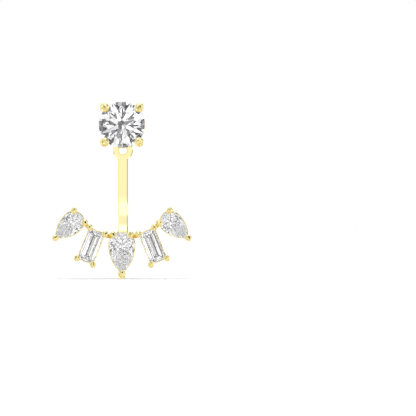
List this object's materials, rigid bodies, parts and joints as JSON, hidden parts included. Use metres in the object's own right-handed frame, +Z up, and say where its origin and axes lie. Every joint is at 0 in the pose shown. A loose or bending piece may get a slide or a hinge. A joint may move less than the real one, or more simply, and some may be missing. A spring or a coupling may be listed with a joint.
{
  "type": "diamond jacket earring",
  "caption": "Front-back jacket earring: a round stone stud on a straight post, with a swinging bar behind the lobe that carries a fan of set stones under it.",
  "frame": {"origin": "on the axis of the ear post, halfway along the stretch that the ear lobe takes", "axes": "+Z is up as worn; -Y is the front, where the stones face; +Y runs back along the post; +X is the viewer's right"},
  "size_m": [0.0174, 0.0141, 0.0222],
  "materials": {
    "gold": "polished 14 carat yellow gold",
    "diamond": "faceted and polished colourless diamond"
  },
  "bodies": {
    "stud": {"stud_setting": "gold", "stud_stone": "diamond", "ear_back": "gold"},
    "jacket": {"jacket_frame": "gold", "pear_middle": "diamond", "pear_left": "diamond", "pear_right": "diamond", "baguette_left": "diamond", "baguette_right": "diamond"}
  },
  "joints": [
    {"name": "jacket_swing", "type": "hinge", "parent": "stud", "child": "jacket", "pos_m": [0, 0, 0], "axis": [0, 1, 0], "continuous": true}
  ]
}
